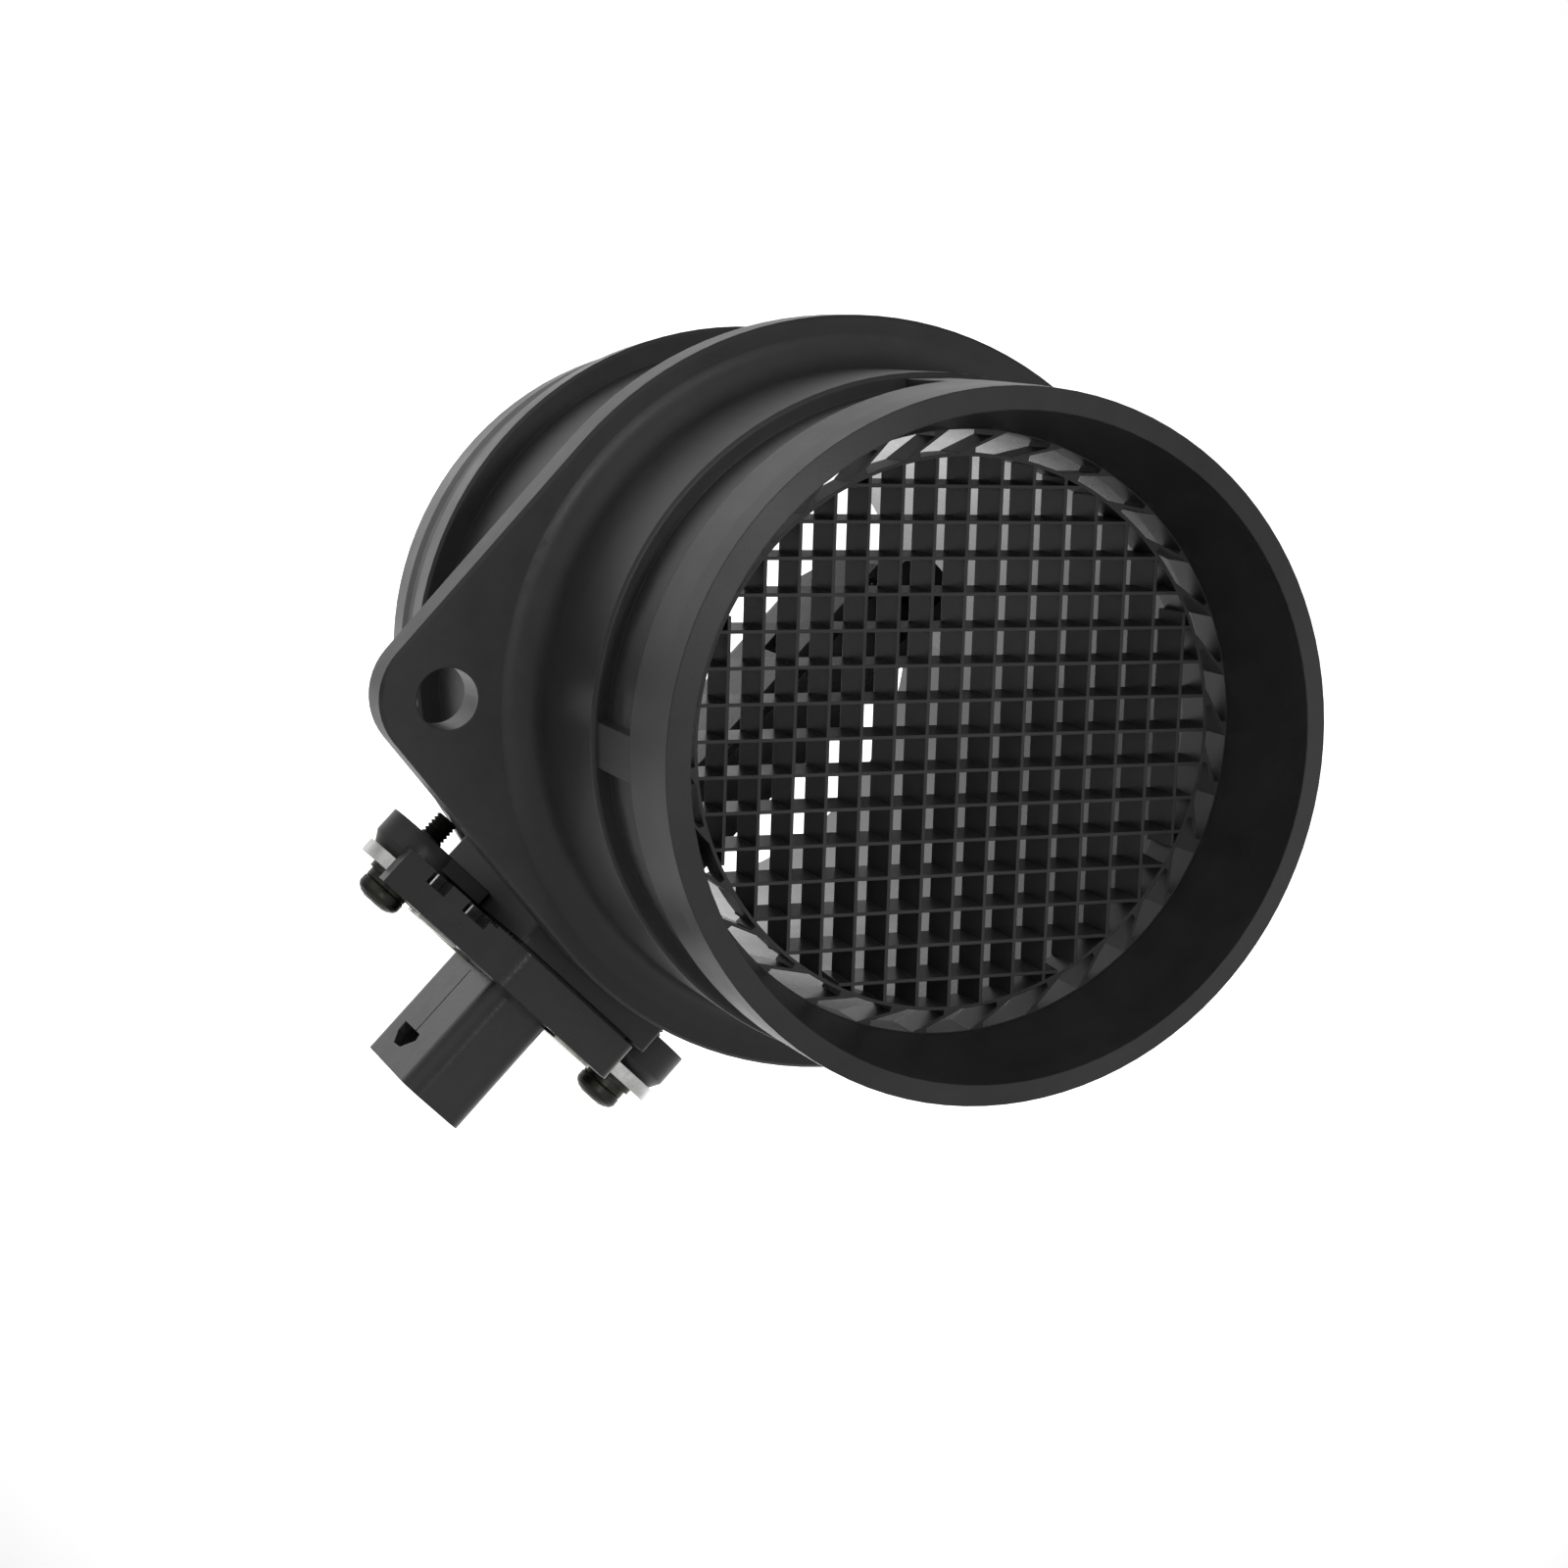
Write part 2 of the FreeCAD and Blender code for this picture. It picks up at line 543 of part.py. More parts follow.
# the leading side steps in towards a narrower nose
nose = prism("probe_nose_cut", [(-2.5, 17), (-2.5, 12.7), (-4.5, 12.7), (-5.7, -9.5), (-12, -9.5), (-12, 17)], -40, 83)
outlet = box("side_outlet", -12, 0.6, -4.8, 8.5, 7.6, 3.6)
probe_t = cut("probe_trimmed", probe, fuse("probe_cuts", [trail, nose, outlet]))
split = box("probe_split_zone", "probe_split", -12, -40, 10, 40, 70)
cover_b = common("probe_cover_blank", probe_t, split)
probe_b = cut("probe_main", probe_t, box("probe_split_zone_b", "probe_split", -12, -40, 10, 40, 70))

metal_copy = fuse("metal_seat", [
    cyl("seat_upper_end", "- screw_half", 0, "metal_foot", "metal_rad", "metal_thick"),
    cyl("seat_lower_end", "screw_half", 0, "metal_foot", "metal_rad", "metal_thick"),
    box("seat_middle", "- screw_half", "- metal_rad", "metal_foot", "screw_half + screw_half",
        "metal_rad + metal_rad", "metal_thick"),
    box("seat_panel", -13, -11, "metal_foot", 26, 25, "metal_thick")] + tab_boxes("seat_tab"))
metal_seat = cut("metal_seat_cut", metal_copy, box("metal_window_b", -3, -8, 60, 6, 20.5, 10))
groove_o = rounded_block("ring_groove_outer", "pocket_half + 2", "pocket_front + 2", "pocket_back + 2",
                         "ring_groove_foot", "ring_groove_wide", "pocket_corner")
groove_i = rounded_block("ring_groove_inner", "pocket_half - fit_gap - ring_groove_deep",
                         "pocket_front - fit_gap - ring_groove_deep", "pocket_back - fit_gap - ring_groove_deep",
                         "ring_groove_foot - 1", "ring_groove_wide + 2", "pocket_corner - fit_gap - 0.8")
groove = cut("ring_groove", groove_o, groove_i)
socket = rounded_block("socket_cavity", "conn_half - conn_wall", "conn_front - conn_wall", "conn_back - conn_wall",
                       "conn_floor", "conn_top - conn_floor + 2", "conn_corner - conn_wall")
latch = prism("latch_window", [
    (-4.6, "latch_foot"), (4.6, "latch_foot"), (5.1, "latch_foot + 1.2"), (1.5, "latch_foot + 3.6"),
    (-1.9, "latch_foot + 3.8"), (-4.4, "latch_foot + 1.8")], 0, "latch_deep + 2", rot=SIDE, shift=(-8.0, 0, 0))
line = box("latch_line", -6.4, 2.0, 69.2, 0.65, 0.35, "latch_foot - 69.2")
notch_a = box("edge_notch_a", -24.6, 8.6, "flange_foot - 1", 3.3, 9, 3.3)
notch_b = box("edge_notch_b", -18.2, 11.4, "flange_foot - 1", 4.0, 9, 3.0)
notch_c = box("edge_step", -14.2, 13.5, "flange_foot - 1", 1.3, 9, 1.5)
relief = [cyl(t + "_seat_relief", sd * D["screw_half"], 0, 55, "seat_relief_rad", 20)
          for sd, t in ((-1, "upper"), (1, "lower"))]
board_pocket = box("board_pocket", -1.1, -6, -6, 7.6, 19, 34)
channel = fuse("bypass_channel", [box("bypass_inlet", 1.2, 1.0, -25, 5.3, 40, 11.5),
                                  box("bypass_outlet", 1.2, 1.0, -40, 5.3, 4.6, 20)])

# electronics inside the insert
board = box("board_blank", -1.1, -5.5, -5.5, "board_thick", 18, 33)
pins = []
for k in range(5):
    yk = D["conn_mid"] + (k - 2) * D["pin_pitch"] - D["pin_wide"] / 2
    shaft = box("pin_shaft_%d" % k, -0.3, yk, "pin_foot", "pin_thick", "pin_wide", "pin_top - pin_foot - 1.2")
    tip = doc.addObject("Part::Wedge", "pin_tip_%d" % k)
    tip.Xmin, tip.Xmax, tip.Ymin, tip.Ymax, tip.Zmin, tip.Zmax = 0, D["pin_thick"], 0, 1.2, 0, D["pin_wide"]
    tip.X2min, tip.X2max, tip.Z2min, tip.Z2max = 0.2, D["pin_thick"] - 0.2, 0.35, D["pin_wide"] - 0.35
    tip.Placement = at(INSERT, -0.3, yk + D["pin_wide"], D["pin_top"] - 1.2, FreeCAD.Rotation(V(1, 0, 0), 90))
    pins.append(fuse("pin_%d" % k, [shaft, tip]))
terminals = doc.addObject("Part::Compound", "terminal_group")
terminals.Links = pins
node(terminals, "connector_terminals")
node(board, "circuit_board")
carrier = box("carrier_blank", 2.6, 1.5, -23, 0.8, 7, 17.5)
node(carrier, "sensor_carrier")
chip = box("chip_blank", 3.4, 3.5, -22, 0.4, 3, 5)
node(chip, "hot_film_chip")
bead = doc.addObject("Part::Sphere", "bead")
bead.Radius = 1.15
bead.Placement = at(INSERT, -3.75, 14.2, -18.6, FreeCAD.Rotation(V(0, 0, 1), 45))
BACK = FreeCAD.Rotation(V(1, 0, 0), 90)
leads = [cyl("bead_lead_%d" % k, wl, 14.2, -18.6, 0.25, 2.5, rot=BACK) for k, wl in ((0, -3.95), (1, -3.25))]
thermistor = fuse("thermistor_union", [bead] + leads)
node(thermistor, "intake_thermistor")

insert_a = fuse("insert_union", [flange, plug, conn, probe_b])
pin_slots = []
for k in range(5):
    yk = D["conn_mid"] + (k - 2) * D["pin_pitch"] - D["pin_wide"] / 2
    pin_slots.append(box("pin_slot_%d" % k, -0.3, yk, 22, "pin_thick", "pin_wide", 56))
lead_slots = [cyl("lead_slot_%d" % k, wl, 14.2, -18.6, 0.25, 2.5, rot=BACK) for k, wl in ((0, -3.95), (1, -3.25))]
carrier_slot = box("carrier_slot", 2.6, 1.5, -23, 0.8, 7, 17.5)
insert_tools = fuse("insert_tools", [metal_seat, groove, socket, latch, line, notch_a, notch_b, notch_c,
                                     board_pocket, channel, carrier_slot] + relief + pin_slots + lead_slots)
insert_body = cut("insert_cut", insert_a, insert_tools)
node(insert_body, "insert_body")
node(cover_b, "probe_cover")

gel = box("gel_blank", -0.3, -5.5, -5.5, "gel_thick", 18, 33)
gel_tools = fuse("gel_tools", [box("gel_pin_%d" % k, -0.3, D["conn_mid"] + (k - 2) * D["pin_pitch"] - D["pin_wide"] / 2,
                                   "pin_foot", "pin_thick", "pin_wide", 10) for k in range(5)])
potting = cut("gel_cut", gel, gel_tools)
node(potting, "board_potting")

# O-ring cord round the plug, squeezed between its groove and the pocket
seal_o = rounded_block("seal_outer", "pocket_half", "pocket_front", "pocket_back", "ring_groove_foot + 0.2",
                       "seal_wide", "pocket_corner")
seal_i = rounded_block("seal_inner", "pocket_half - fit_gap - ring_groove_deep",
                       "pocket_front - fit_gap - ring_groove_deep", "pocket_back - fit_gap - ring_groove_deep",
                       "ring_groove_foot - 1", 6, "pocket_corner - fit_gap - 0.8")
seal_c = cut("seal_blank", seal_o, seal_i)
node(seal_c, "insert_seal")

# thin plate over the insert's flange, open round the connector's front
COVER_END = -14.1
cover_poly = prism("cover_poly", [
    (-20.6, 8.4), (-4.5, 17.9), (13.8, 17.9), (17.4, 8), (17.4, -8), (7.6, -12.8), (-7.6, -12.8), (-17.4, -8)],
    "flange_top", "cover_thick", rounds=[([(-4.5, 17.9), (13.8, 17.9)], 2.0)])
cover_win = fuse("cover_window", [
    rounded_block("cover_window_back", "conn_half", "conn_front", "conn_back", 60, 20, "conn_corner"),
    box("cover_window_front", COVER_END, -2, 60, 6 - COVER_END, 27, 20)])
cover_rel = [cyl("cover_relief_%d" % k, sd * D["screw_half"], 0, 55, "seat_relief_rad", 20)
             for k, sd in ((0, -1), (1, 1))]
cover_plate = cut("cover_cut", cover_poly, fuse("cover_tools", [cover_win] + cover_rel))
node(cover_plate, "cover_plate")

# ----------------------------------------------------------------- fasteners
for side, tag in ((-1, "upper"), (1, "lower")):
    x = side * D["screw_half"]
    # pan head: turned section with a domed top and a cross recess
    body = doc.addObject("PartDesign::Body", tag + "_screw_body")
    head0 = "metal_foot + metal_thick + flat_washer_thick + spring_washer_thick"
    h0 = num(head0)
    # thread crests show on the length that stands out of the lug
    crests, reach_s = [], num("screw_tip") + 0.35
    while reach_s + 0.7 < num(tag + "_lug_foot"):
        step = " + %.2f" % (reach_s - num("screw_tip"))
        half_step = " + %.2f" % (reach_s - num("screw_tip") + 0.35)
        crests += [("screw_rad", "screw_tip" + step), ("screw_rad - thread_deep", "screw_tip" + half_step)]
        reach_s += 0.7
    crests.append(("screw_rad", "screw_tip + %.2f" % (reach_s - num("screw_tip"))))
    sk = outline(body, tag + "_screw_section", [
        (0, "screw_tip"), ("screw_rad - 0.4", "screw_tip")] + crests + [
        ("screw_rad", head0), ("head_rad - 0.25", head0), ("head_rad", head0 + " + 0.35"),
        ("head_rad", head0 + " + 1.5"), ("head_rad - 0.35", head0 + " + 2.1"),
        ("head_rad - 1.1", head0 + " + head_tall - 0.3"), ("head_rad - 2.1", head0 + " + head_tall"),
        (0, head0 + " + head_tall")])
    rev = body.newObject("PartDesign::Revolution", tag + "_screw_turned")
    rev.Profile = sk
    rev.ReferenceAxis = (sk, ["V_Axis"])
    rev.Angle = 360
    body.Tip = rev
    # section drawn in (radius, s): stand it up along the insert's s axis
    body.Placement = at(INSERT, x, 0, 0, FreeCAD.Rotation(V(1, 0, 0), V(0, 0, 1), V(0, -1, 0), "ZXY"))
    slot_a = box(tag + "_recess_a", x - 2.1, -0.45, h0 + D["head_tall"] - 1.5, 4.2, 0.9, 3)
    slot_b = box(tag + "_recess_b", x - 0.45, -2.1, h0 + D["head_tall"] - 1.5, 0.9, 4.2, 3)
    node(cut(tag + "_screw_cut", body, fuse(tag + "_recess", [slot_a, slot_b])), tag + "_screw")
    # flat washer
    fw_o = cyl(tag + "_flat_disc", x, 0, "metal_foot + metal_thick", "flat_washer_rad", "flat_washer_thick")
    fw_i = cyl(tag + "_flat_bore", x, 0, 60, "washer_hole_rad", 12)
    node(cut(tag + "_flat_cut", fw_o, fw_i), tag + "_flat_washer")
    # split spring washer
    z0 = "metal_foot + metal_thick + flat_washer_thick"
    sw_o = cyl(tag + "_spring_disc", x, 0, z0, "spring_washer_rad", "spring_washer_thick")
    sw_i = cyl(tag + "_spring_bore", x, 0, 60, "washer_hole_rad", 12)
    split_b = box(tag + "_spring_split", x - 0.3, -6.0, 60, 0.6, 5, 12)
    node(cut(tag + "_spring_cut", sw_o, fuse(tag + "_spring_tools", [sw_i, split_b])), tag + "_spring_washer")
    # brass thread insert in the lug
    foot = tag + "_lug_foot"
    nut_o = cyl(tag + "_nut_blank", x, 0, foot + " + 0.2", "nut_rad", "lug_top - " + foot + " - 0.4")
    nut_i = cyl(tag + "_nut_bore", x, 0, 50, "screw_rad", 20)
    node(cut(tag + "_nut_cut", nut_o, nut_i), tag + "_thread_insert")

doc.recompute()

# -------------------------------------------------------------------- checks
bad = []
for o in doc.Objects:
    if "Invalid" in o.State or "Error" in o.State:
        bad.append("%s %s" % (o.Name, o.State))
for name, obj in NODES:
    sh = obj.Shape
    if sh.isNull() or not sh.isValid():
        bad.append("%s: null or invalid shape" % name)
    elif not sh.Solids or sh.Volume <= 0:
        bad.append("%s: no solid" % name)
if bad:
    raise RuntimeError("; ".join(bad))

os.makedirs("parts", exist_ok=True)
for name, obj in NODES:
    sh = obj.Shape
    bb = sh.BoundBox
    print("%-22s solids %2d  faces %4d  vol %9.1f  box %7.1f %7.1f %7.1f .. %6.1f %6.1f %6.1f" % (
        name, len(sh.Solids), len(sh.Faces), sh.Volume, bb.XMin, bb.YMin, bb.ZMin, bb.XMax, bb.YMax, bb.ZMax))
    sh.exportStep("parts/%s.step" % name)
print(len(NODES), "nodes")
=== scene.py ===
import math
import bmesh
import bpy
import numpy as np
from mathutils import Matrix, Vector

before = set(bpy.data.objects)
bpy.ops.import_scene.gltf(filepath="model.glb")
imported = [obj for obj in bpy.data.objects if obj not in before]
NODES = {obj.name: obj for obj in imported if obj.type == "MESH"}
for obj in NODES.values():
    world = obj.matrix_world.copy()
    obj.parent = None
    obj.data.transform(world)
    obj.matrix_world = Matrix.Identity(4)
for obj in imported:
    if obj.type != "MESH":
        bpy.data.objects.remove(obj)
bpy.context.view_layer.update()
SCENE = bpy.context.scene

MM = 0.001
TILT = math.radians(46.8)      # the plug-in insert leans this far from the duct's horizontal
INSERT_Y = 31.0                # its axis, along the duct from the flange face, in mm
ROOT = "root"


# ---------------------------------------------------------------- frames
def duct(r, deg, y):
    """A point at radius r and clock angle deg (seen from the inlet, 0 = +X) at y, all in mm."""
    a = math.radians(deg)
    return Vector((r * math.cos(a), y, r * math.sin(a))) * MM


def ins(w, q, s):
    """A point in the insert's frame, in mm: w across the screws, q towards the inlet, s outwards."""
    return Vector((w * math.sin(TILT) - s * math.cos(TILT),
                   INSERT_Y - q,
                   -w * math.cos(TILT) - s * math.sin(TILT))) * MM


INS_W = (ins(1, 0, 0) - ins(0, 0, 0)).normalized()
INS_Q = (ins(0, 1, 0) - ins(0, 0, 0)).normalized()
INS_S = (ins(0, 0, 1) - ins(0, 0, 0)).normalized()


# ---------------------------------------------------------------- materials
def tree(name):
    m = bpy.data.materials.new(name)
    m.use_nodes = True
    nt = m.node_tree
    nt.nodes.clear()
    out = nt.nodes.new("ShaderNodeOutputMaterial")
    bsdf = nt.nodes.new("ShaderNodeBsdfPrincipled")
    nt.links.new(bsdf.outputs["BSDF"], out.inputs["Surface"])
    return m, nt, bsdf


def new(nt, kind, **values):
    n = nt.nodes.new(kind)
    for k, v in values.items():
        if k in n.inputs:
            n.inputs[k].default_value = v
        else:
            setattr(n, k, v)
    return n


def noise(nt, coords, scale, detail=3.0, rough=0.55):
    n = new(nt, "ShaderNodeTexNoise")
    n.inputs["Scale"].default_value = scale
    n.inputs["Detail"].default_value = detail
    n.inputs["Roughness"].default_value = rough
    nt.links.new(coords, n.inputs["Vector"])
    return n.outputs["Fac"]


def ramp(nt, fac, lo, hi, a, b):
    n = new(nt, "ShaderNodeMapRange")
    n.clamp = True
    n.inputs["From Min"].default_value = lo
    n.inputs["From Max"].default_value = hi
    n.inputs["To Min"].default_value = a
    n.inputs["To Max"].default_value = b
    nt.links.new(fac, n.inputs["Value"])
    return n.outputs["Result"]


def maths(nt, op, a, b=None, clamp=False):
    n = new(nt, "ShaderNodeMath")
    n.operation = op
    n.use_clamp = clamp
    for i, v in enumerate((a, b)):
        if v is None:
            continue
        if isinstance(v, (int, float)):
            n.inputs[i].default_value = v
        else:
            nt.links.new(v, n.inputs[i])
    return n.outputs["Value"]


def mix(nt, fac, a, b):
    n = new(nt, "ShaderNodeMix")
    n.data_type = "RGBA"
    nt.links.new(fac, n.inputs["Factor"])
    for key, v in (("A", a), ("B", b)):
        sock = [s for s in n.inputs if s.name == key and s.type == "RGBA"][0]
        if isinstance(v, (tuple, list)):
            sock.default_value = (*v, 1.0)
        else:
            nt.links.new(v, sock)
    return [s for s in n.outputs if s.type == "RGBA"][0]


def edge_mask(nt, radius, gain=3.0):
    """0 on the flat, towards 1 on sharp edges: how far the rounded normal leaves the true one."""
    bev = new(nt, "ShaderNodeBevel")
    bev.samples = 4
    bev.inputs["Radius"].default_value = radius
    geo = new(nt, "ShaderNodeNewGeometry")
    dot = new(nt, "ShaderNodeVectorMath")
    dot.operation = "DOT_PRODUCT"
    nt.links.new(bev.outputs["Normal"], dot.inputs[0])
    nt.links.new(geo.outputs["Normal"], dot.inputs[1])
    away = maths(nt, "SUBTRACT", 1.0, dot.outputs["Value"])
    return maths(nt, "MULTIPLY", away, gain, clamp=True)


def plastic(name, base, rough, spread=0.05, grain=0.35, pebble=2200.0, bevel=0.25,
            spec=0.5, painted_edge_highlight=0.0, speck=0.0, bore=None):
    """Moulded plastic: fine spark-eroded grain, faint flow mottling, rounded edges, polished a little on the edges; the
    edge mask can also pale the colour on sharp edges, a painted edge highlight.
    """
    m, nt, b = tree(name)
    tc = new(nt, "ShaderNodeTexCoord")
    co = tc.outputs["Object"]
    fine = noise(nt, co, pebble, 2.0, 0.6)
    broad = noise(nt, co, 55.0, 4.0, 0.55)
    streak = noise(nt, co, 260.0, 3.0, 0.6)
    tone = maths(nt, "ADD", maths(nt, "MULTIPLY", broad, 0.65), maths(nt, "MULTIPLY", streak, 0.35))
    dark = tuple(c * 0.78 for c in base)
    pale = tuple(c * 1.25 for c in base)
    colour = mix(nt, ramp(nt, tone, 0.32, 0.68, 0.0, 1.0), dark, pale)
    if speck > 0:
        dots = new(nt, "ShaderNodeTexVoronoi")
        dots.inputs["Scale"].default_value = 900.0
        nt.links.new(co, dots.inputs["Vector"])
        near = ramp(nt, dots.outputs["Distance"], 0.05, 0.12, speck, 0.0)
        colour = mix(nt, near, colour, (0.09, 0.09, 0.092))
    edges = edge_mask(nt, max(bevel, 0.2) * MM * 1.6)
    # paler colour on the sharp edges: a painted edge highlight
    if painted_edge_highlight > 0:
        colour = mix(nt, maths(nt, "MULTIPLY", edges, painted_edge_highlight), colour, tuple(c * 3.2 for c in base))
    nt.links.new(colour, b.inputs["Base Color"])
    r = ramp(nt, tone, 0.3, 0.7, rough - spread, rough + spread)
    r = maths(nt, "SUBTRACT", r, maths(nt, "MULTIPLY", edges, 0.08), clamp=True)
    if bore:
        # the duct's bore comes off a polished core
        radius, behind, less = bore
        xyz = new(nt, "ShaderNodeSeparateXYZ")
        nt.links.new(co, xyz.inputs[0])
        rr = maths(nt, "SQRT", maths(nt, "ADD", maths(nt, "MULTIPLY", xyz.outputs["X"], xyz.outputs["X"]),
                                     maths(nt, "MULTIPLY", xyz.outputs["Z"], xyz.outputs["Z"])))
        inside = maths(nt, "MULTIPLY", ramp(nt, rr, radius, radius + 0.0003, 1.0, 0.0),
                       ramp(nt, xyz.outputs["Y"], behind, behind + 0.001, 0.0, 1.0))
        r = maths(nt, "SUBTRACT", r, maths(nt, "MULTIPLY", inside, less), clamp=True)
    nt.links.new(r, b.inputs["Roughness"])
    b.inputs["Specular IOR Level"].default_value = spec
    bump = new(nt, "ShaderNodeBump")
    bump.inputs["Strength"].default_value = grain
    bump.inputs["Distance"].default_value = 0.00004
    nt.links.new(fine, bump.inputs["Height"])
    bev = new(nt, "ShaderNodeBevel")
    bev.samples = 4
    bev.inputs["Radius"].default_value = bevel * MM
    nt.links.new(bev.outputs["Normal"], bump.inputs["Normal"])
    nt.links.new(bump.outputs["Normal"], b.inputs["Normal"])
    return m


def metal(name, base, rough, spread=0.08, brushed=None, tint=None, bevel=0.15, metallic=1.0, grain=0.2, scale=900.0, spec=0.5):
    """Metal with drawn or plated unevenness; brushed is an axis stretched for the tool marks."""
    m, nt, b = tree(name)
    tc = new(nt, "ShaderNodeTexCoord")
    co = tc.outputs["Object"]
    if brushed:
        mp = new(nt, "ShaderNodeMapping")
        mp.inputs["Scale"].default_value = brushed
        nt.links.new(co, mp.inputs["Vector"])
        lined = noise(nt, mp.outputs["Vector"], scale, 3.0, 0.6)
    else:
        lined = noise(nt, co, scale, 3.0, 0.6)
    cloud = noise(nt, co, 320.0, 3.0, 0.6)
    other = tint or tuple(c * 0.72 for c in base)
    colour = mix(nt, ramp(nt, cloud, 0.35, 0.65, 0.0, 1.0), base, other)
    nt.links.new(colour, b.inputs["Base Color"])
    nt.links.new(ramp(nt, lined, 0.3, 0.7, rough - spread, rough + spread), b.inputs["Roughness"])
    b.inputs["Metallic"].default_value = metallic
    b.inputs["Specular IOR Level"].default_value = spec
    bump = new(nt, "ShaderNodeBump")
    bump.inputs["Strength"].default_value = grain
    bump.inputs["Distance"].default_value = 0.00003
    nt.links.new(lined, bump.inputs["Height"])
    bev = new(nt, "ShaderNodeBevel")
    bev.samples = 4
    bev.inputs["Radius"].default_value = bevel * MM
    nt.links.new(bev.outputs["Normal"], bump.inputs["Normal"])
    nt.links.new(bump.outputs["Normal"], b.inputs["Normal"])
    return m


HOUSING = plastic("housing_black", (0.0290, 0.0310, 0.0295), 0.40, 0.05, 0.35, 2400.0, 0.3, bore=(0.0446, -0.034, 0.13))
GRID = plastic("grid_black", (0.0340, 0.0355, 0.0345), 0.36, 0.05, 0.25, 2400.0, 0.12)
# the insert's sharp edges get a paler colour, a painted edge highlight
INSERT = plastic("insert_black", (0.0280, 0.0292, 0.0284), 0.27, 0.09, 0.65, 1300.0, 0.22, painted_edge_highlight=0.12)
PROBE = plastic("probe_black", (0.0240, 0.0250, 0.0245), 0.34, 0.06, 0.3, 2200.0, 0.2)
SEAL = plastic("seal_black_rubber", (0.012, 0.012, 0.0125), 0.62, 0.06, 0.5, 1200.0, 0.2)
GEL = plastic("clear_gel", (0.10, 0.085, 0.06), 0.12, 0.03, 0.1, 300.0, 0.2)
ALU = metal("bright_plate", (0.86, 0.86, 0.84), 0.27, 0.09, brushed=(1.0, 7.0, 1.0), bevel=0.22)
COVER = metal("cream_plated_cover", (0.80, 0.79, 0.72), 0.34, 0.08, bevel=0.12)
TIN = metal("tinned_pin", (0.80, 0.79, 0.76), 0.22, 0.06, bevel=0.1)
CERAMIC = plastic("white_ceramic", (0.62, 0.63, 0.60), 0.45, 0.05, 0.2, 1600.0, 0.05)
CHIP = plastic("chip_glass_blue", (0.02, 0.05, 0.09), 0.08, 0.02, 0.05, 800.0, 0.05)
BEAD = plastic("bead_resin", (0.03, 0.028, 0.025), 0.18, 0.05, 0.1, 900.0, 0.1)
SCREW = metal("black_zinc_screw", (0.060, 0.062, 0.050), 0.34, 0.10, tint=(0.040, 0.044, 0.038), bevel=0.18, grain=0.35, scale=1400.0)
WASHER = metal("black_zinc_washer", (0.075, 0.078, 0.064), 0.36, 0.10, tint=(0.045, 0.048, 0.040), bevel=0.12, grain=0.3, scale=1500.0)
BRASS = metal("insert_brass", (0.62, 0.46, 0.21), 0.30, 0.08, bevel=0.1)

WEARS = {
    "housing": HOUSING, "flow_straightener": GRID, "insert_body": INSERT, "probe_cover": PROBE,
    "insert_seal": SEAL, "board_potting": GEL, "base_plate": ALU, "cover_plate": COVER,
    "connector_terminals": TIN, "circuit_board": CERAMIC, "sensor_carrier": CERAMIC,
    "hot_film_chip": CHIP, "intake_thermistor": BEAD,
    "upper_screw": SCREW, "lower_screw": SCREW,
    "upper_flat_washer": WASHER, "lower_flat_washer": WASHER,
    "upper_spring_washer": WASHER, "lower_spring_washer": WASHER,
    "upper_thread_insert": BRASS, "lower_thread_insert": BRASS,
}
for name, material in WEARS.items():
    mesh = NODES[name].data
    if mesh.materials:
        for i in range(len(mesh.materials)):
            mesh.materials[i] = material
    else:
        mesh.materials.append(material)


# ---------------------------------------------------------------- studio
FLOOR_Z = -0.30

AZ, EL, ROLL = math.radians(-21.6225), math.radians(9.0549), math.radians(1.7575)
CAM_AT = Vector((-166.53, -393.63, 54.53)) * MM
d = Vector((math.sin(AZ) * math.cos(EL), -math.cos(AZ) * math.cos(EL), math.sin(EL)))
right = Vector((math.cos(AZ), math.sin(AZ), 0))
up = right.cross(-d)
right2 = math.cos(ROLL) * right + math.sin(ROLL) * up
up2 = -math.sin(ROLL) * right + math.cos(ROLL) * up
cam_data = bpy.data.cameras.new("camera")
cam_data.lens = 64.18
cam_data.sensor_width = 36.0
cam_data.clip_start, cam_data.clip_end = 0.01, 50
cam = bpy.data.objects.new("camera", cam_data)
SCENE.collection.objects.link(cam)
cam.matrix_world = Matrix((
    (right2.x, up2.x, d.x, CAM_AT.x),
    (right2.y, up2.y, d.y, CAM_AT.y),
    (right2.z, up2.z, d.z, CAM_AT.z),
    (0, 0, 0, 1)))
SCENE.camera = cam

# Soft panels round the object: (right, up, away from the camera), strength.
PANELS = [
    ((-1, -1, 1), 0.028),
    ((-1, 0, 0), 0.064),
    ((-1, 1, -1), 0.495),
    ((-1, 1, 1), 0.654),
    ((0, -1, 1), 0.558),
    ((0, 0, -1), 0.145),
    ((0, 0, 1), 1.298),
    ((0, 1, -1), 0.387),
    ((0, 1, 1), 0.160),
    ((1, 0, -1), 0.155),
    ((1, 0, 0), 0.386),
    ((1, 0, 1), 0.012),
    ((1, 1, -1), 0.256),
]
PANEL_WIDTH = 6.0


def glow(nt, way):
    """Brightness of the studio in the direction way: one soft round panel after another."""
    total = None
    for (r, u, f), power in PANELS:
        v = (right2 * r + up2 * u - d * f).normalized()
        dp = new(nt, "ShaderNodeVectorMath")
        dp.operation = "DOT_PRODUCT"
        dp.inputs[1].default_value = tuple(v)
        nt.links.new(way, dp.inputs[0])
        near = maths(nt, "MULTIPLY", maths(nt, "SUBTRACT", dp.outputs["Value"], 1.0), PANEL_WIDTH)
        one = maths(nt, "MULTIPLY", maths(nt, "EXPONENT", near), power)
        total = one if total is None else maths(nt, "ADD", total, one)
    return total


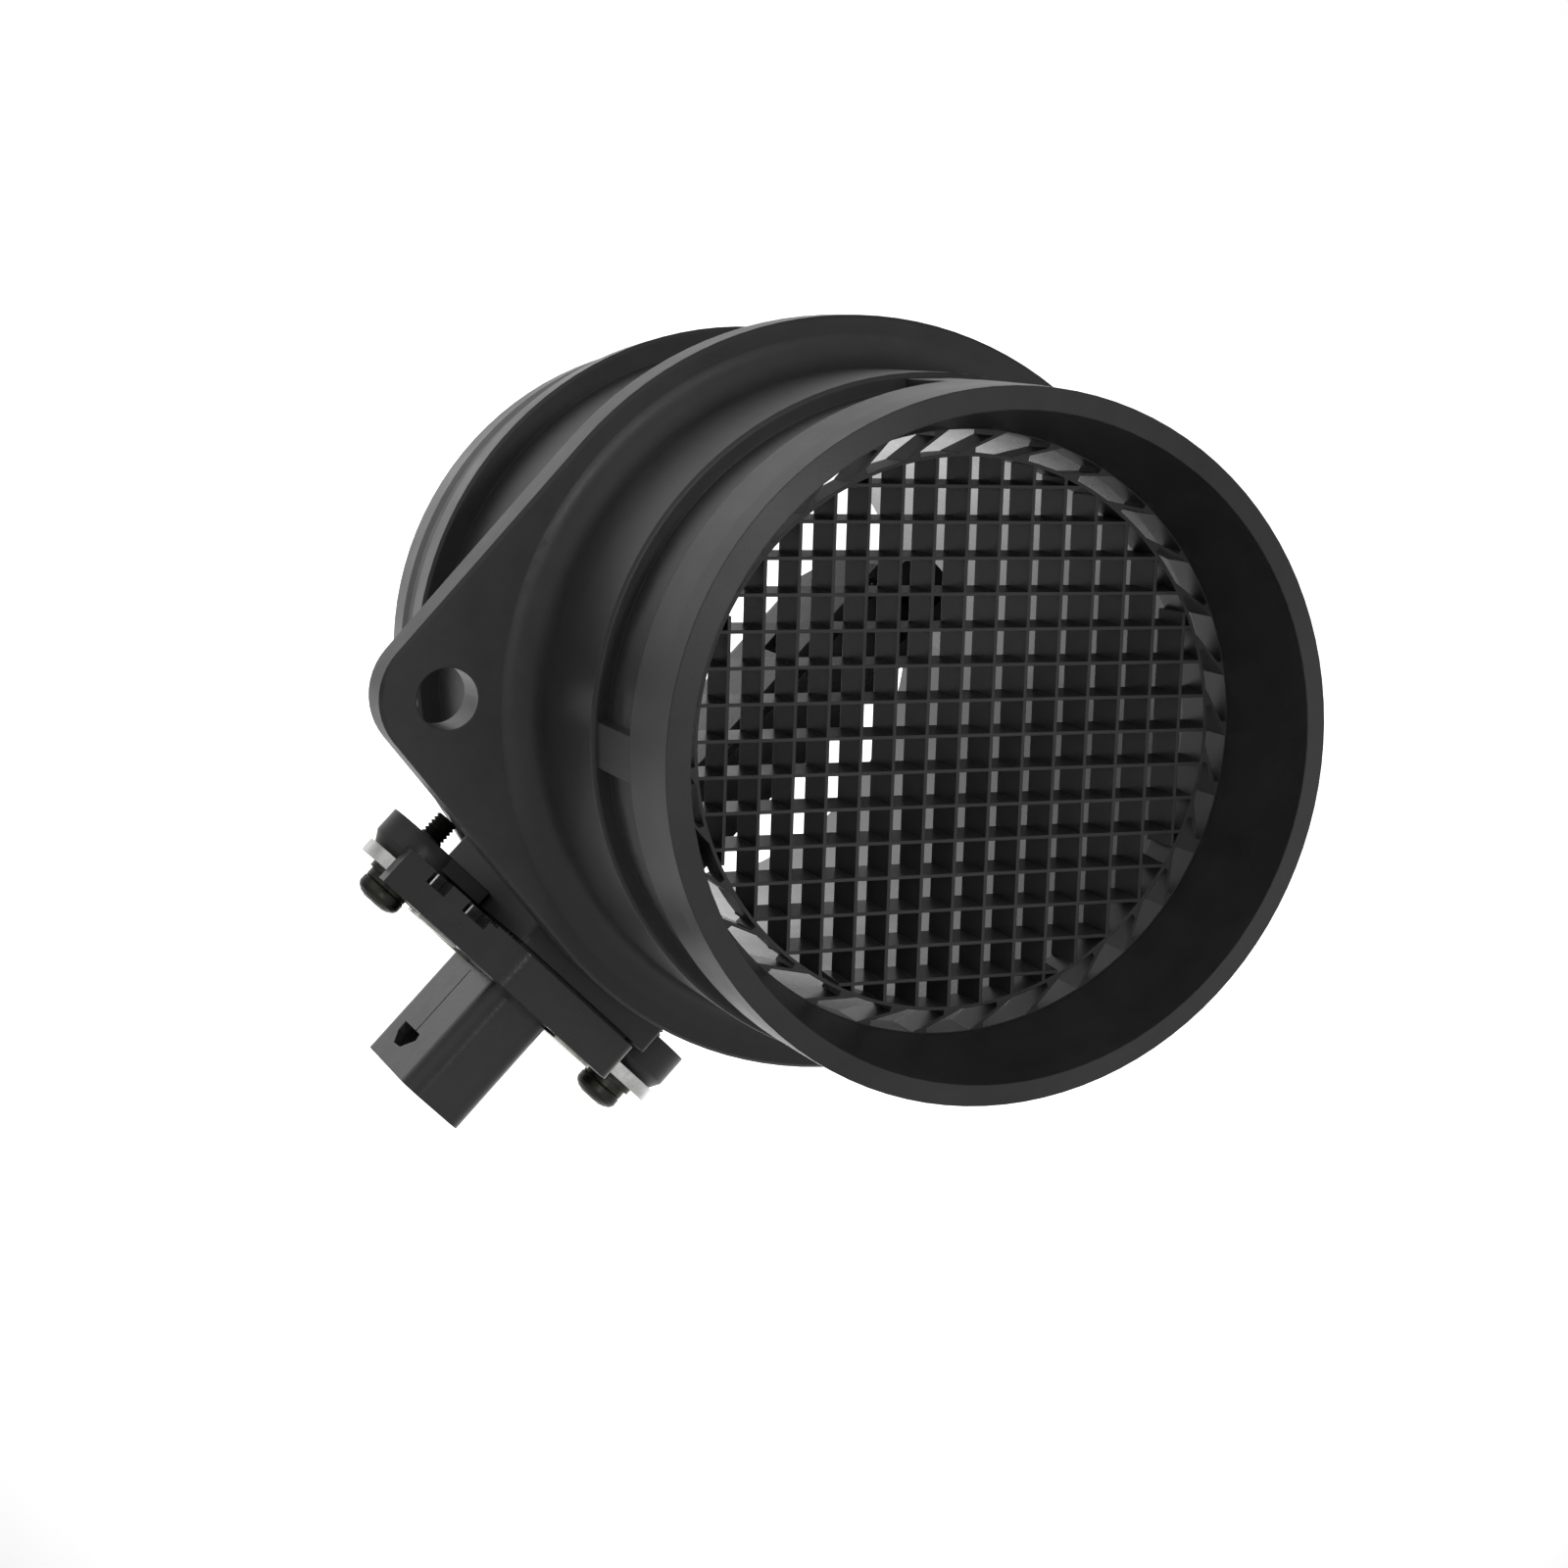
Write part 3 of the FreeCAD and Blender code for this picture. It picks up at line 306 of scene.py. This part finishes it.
def floor():
    bm = bmesh.new()
    rings, spokes = 10, 96
    rows = []
    for i in range(rings + 1):
        r = 4.0 * (i / rings) ** 2
        if i == 0:
            rows.append([bm.verts.new((0, 0, FLOOR_Z))])
        else:
            rows.append([bm.verts.new((r * math.cos(2 * math.pi * k / spokes), r * math.sin(2 * math.pi * k / spokes), FLOOR_Z))
                         for k in range(spokes)])
    for i in range(1, rings + 1):
        for k in range(spokes):
            k2 = (k + 1) % spokes
            if i == 1:
                bm.faces.new((rows[0][0], rows[1][k], rows[1][k2]))
            else:
                bm.faces.new((rows[i - 1][k], rows[i][k], rows[i][k2], rows[i - 1][k2]))
    me = bpy.data.meshes.new("floor")
    bm.to_mesh(me)
    bm.free()
    o = bpy.data.objects.new("floor", me)
    SCENE.collection.objects.link(o)
    m, nt, b = tree("floor_white")
    tc = new(nt, "ShaderNodeTexCoord")
    tone = noise(nt, tc.outputs["Object"], 3.0, 2.0)
    nt.links.new(mix(nt, tone, (0.79, 0.79, 0.79), (0.81, 0.81, 0.81)), b.inputs["Base Color"])
    b.inputs["Roughness"].default_value = 0.9
    b.inputs["Specular IOR Level"].default_value = 0.0
    # The floor glows: its emission strength repeats the soft panels in the direction from the object, a painted pool of
    # light that also lights the object from below.
    b.inputs["Emission Color"].default_value = (1, 1, 1, 1)
    aim = new(nt, "ShaderNodeVectorMath")
    aim.operation = "NORMALIZE"
    nt.links.new(tc.outputs["Object"], aim.inputs[0])
    nt.links.new(glow(nt, aim.outputs[0]), b.inputs["Emission Strength"])
    me.materials.append(m)


floor()

AIM = Vector((-0.01, 0.0, 0.0))


def soft_light(name, towards, distance, size, watts, tint=(1, 1, 1)):
    """A square soft box. towards is (right, up, back) as the camera sees it."""
    v = (right2 * towards[0] + up2 * towards[1] - d * towards[2]).normalized()
    data = bpy.data.lights.new(name, "AREA")
    data.shape = "RECTANGLE"
    data.size, data.size_y = size
    data.energy = watts
    data.color = tint
    o = bpy.data.objects.new(name, data)
    SCENE.collection.objects.link(o)
    at = AIM + v * distance
    o.matrix_world = Matrix.Translation(at) @ v.to_track_quat("Z", "Y").to_matrix().to_4x4()
    return o


soft_light("glint", (0.36, 0.06, -0.93), 1.1, (0.06, 0.06), 1.3)

# a small soft panel behind the outlet, for the light that comes in through the open end
back = bpy.data.lights.new("behind_outlet", "AREA")
back.shape = "RECTANGLE"
back.size, back.size_y = 0.09, 0.09
back.energy = 0.018
back_panel = bpy.data.objects.new("behind_outlet", back)
SCENE.collection.objects.link(back_panel)
back_panel.visible_camera = False
back_panel.matrix_world = Matrix.Translation(Vector((0.005, 0.17, 0.0))) @ Vector((0, 1, 0)).to_track_quat("Z", "X").to_matrix().to_4x4()

world = bpy.data.worlds.new("studio")
SCENE.world = world
world.use_nodes = True
wt = world.node_tree
wt.nodes.clear()
wout = wt.nodes.new("ShaderNodeOutputWorld")
bg = wt.nodes.new("ShaderNodeBackground")
wt.links.new(bg.outputs["Background"], wout.inputs["Surface"])
wtc = wt.nodes.new("ShaderNodeTexCoord")
wt.links.new(glow(wt, wtc.outputs["Generated"]), bg.inputs["Strength"])
bg.inputs["Color"].default_value = (1, 1, 1, 1)

SCENE.view_settings.view_transform = "Standard"
SCENE.view_settings.look = "None"
SCENE.view_settings.exposure = 0.0
SCENE.view_settings.gamma = 1.0
